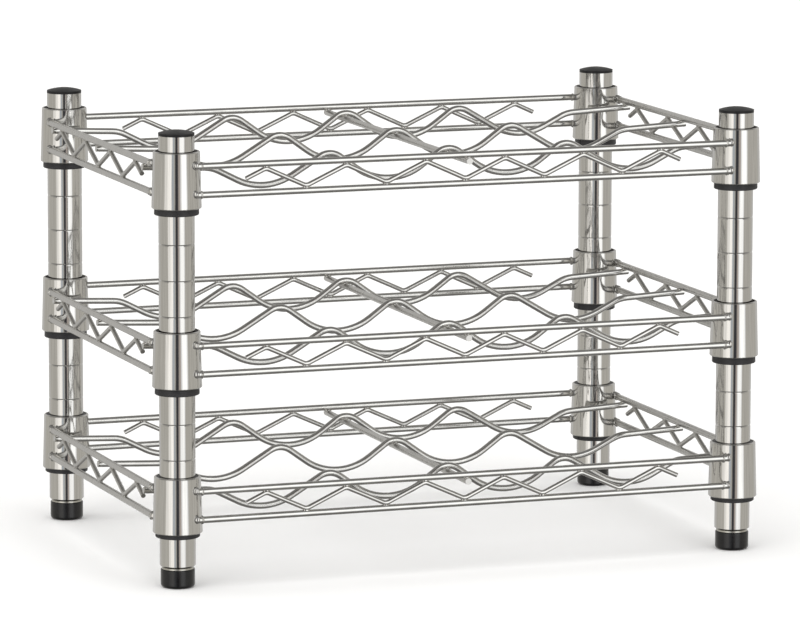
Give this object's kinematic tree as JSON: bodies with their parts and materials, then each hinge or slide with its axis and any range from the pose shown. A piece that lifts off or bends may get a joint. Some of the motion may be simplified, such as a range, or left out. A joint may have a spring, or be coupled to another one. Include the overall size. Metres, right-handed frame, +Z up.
{
  "type": "wine rack",
  "caption": "Wire shelf rack for wine bottles: grooved tube posts, shelves with wavy bottle rests on tapered collars and split sleeves, and levelling feet.",
  "frame": {"origin": "on the floor, midway between the four feet", "axes": "+X along the front to the right, +Y to the back, +Z up"},
  "size_m": [0.459, 0.3068, 0.3241],
  "materials": {
    "post_chrome": "bright chrome plate on steel tube",
    "collar_chrome": "bright chrome plate, slightly drawn surface",
    "wire_chrome": "bright chrome plate on drawn wire",
    "wire_satin": "chrome plate on drawn wire, a little duller",
    "stud_steel": "zinc-bright steel",
    "sleeve_black": "moulded black nylon, satin",
    "cap_black": "moulded black plastic, satin",
    "foot_black": "moulded black plastic, satin"
  },
  "bodies": {
    "posts": {"post_front_left": "post_chrome", "cap_front_left": "cap_black", "post_front_right": "post_chrome", "cap_front_right": "cap_black", "post_back_right": "post_chrome", "cap_back_right": "cap_black", "post_back_left": "post_chrome", "cap_back_left": "cap_black", "post_plugs": "stud_steel", "bottom_sleeves": "sleeve_black", "middle_sleeves": "sleeve_black", "top_sleeves": "sleeve_black"},
    "bottom_shelf": {"bottom_collars": "collar_chrome", "bottom_front_rods": "wire_chrome", "bottom_back_rods": "wire_chrome", "bottom_left_rods": "wire_satin", "bottom_right_rods": "wire_satin", "bottom_front_zigzag": "wire_chrome", "bottom_back_zigzag": "wire_chrome", "bottom_left_zigzag": "wire_satin", "bottom_right_zigzag": "wire_satin", "bottom_centre_bar": "wire_satin", "bottom_wave_front": "wire_chrome", "bottom_wave_middle": "wire_chrome", "bottom_wave_back": "wire_chrome"},
    "middle_shelf": {"middle_collars": "collar_chrome", "middle_front_rods": "wire_chrome", "middle_back_rods": "wire_chrome", "middle_left_rods": "wire_satin", "middle_right_rods": "wire_satin", "middle_front_zigzag": "wire_chrome", "middle_back_zigzag": "wire_chrome", "middle_left_zigzag": "wire_satin", "middle_right_zigzag": "wire_satin", "middle_centre_bar": "wire_satin", "middle_wave_front": "wire_chrome", "middle_wave_middle": "wire_chrome", "middle_wave_back": "wire_chrome"},
    "top_shelf": {"top_collars": "collar_chrome", "top_front_rods": "wire_chrome", "top_back_rods": "wire_chrome", "top_left_rods": "wire_satin", "top_right_rods": "wire_satin", "top_front_zigzag": "wire_chrome", "top_back_zigzag": "wire_chrome", "top_left_zigzag": "wire_satin", "top_right_zigzag": "wire_satin", "top_centre_bar": "wire_satin", "top_wave_front": "wire_chrome", "top_wave_middle": "wire_chrome", "top_wave_back": "wire_chrome"},
    "levelling_foot_front_left": {"foot_front_left": "foot_black", "foot_stud_front_left": "stud_steel"},
    "levelling_foot_front_right": {"foot_front_right": "foot_black", "foot_stud_front_right": "stud_steel"},
    "levelling_foot_back_right": {"foot_back_right": "foot_black", "foot_stud_back_right": "stud_steel"},
    "levelling_foot_back_left": {"foot_back_left": "foot_black", "foot_stud_back_left": "stud_steel"}
  },
  "joints": [
    {"name": "bottom_shelf_lift", "type": "slide", "parent": "posts", "child": "bottom_shelf", "axis": [0, 0, 1], "range_m": [0, 0.054]},
    {"name": "middle_shelf_lift", "type": "slide", "parent": "posts", "child": "middle_shelf", "axis": [0, 0, 1], "range_m": [0, 0.08]},
    {"name": "top_shelf_lift", "type": "slide", "parent": "posts", "child": "top_shelf", "axis": [0, 0, 1], "range_m": [0, 0.06]},
    {"name": "levelling_front_left", "type": "slide", "parent": "posts", "child": "levelling_foot_front_left", "axis": [0, 0, -1], "range_m": [0, 0.008]},
    {"name": "levelling_front_right", "type": "slide", "parent": "posts", "child": "levelling_foot_front_right", "axis": [0, 0, -1], "range_m": [0, 0.008]},
    {"name": "levelling_back_right", "type": "slide", "parent": "posts", "child": "levelling_foot_back_right", "axis": [0, 0, -1], "range_m": [0, 0.008]},
    {"name": "levelling_back_left", "type": "slide", "parent": "posts", "child": "levelling_foot_back_left", "axis": [0, 0, -1], "range_m": [0, 0.008]}
  ]
}
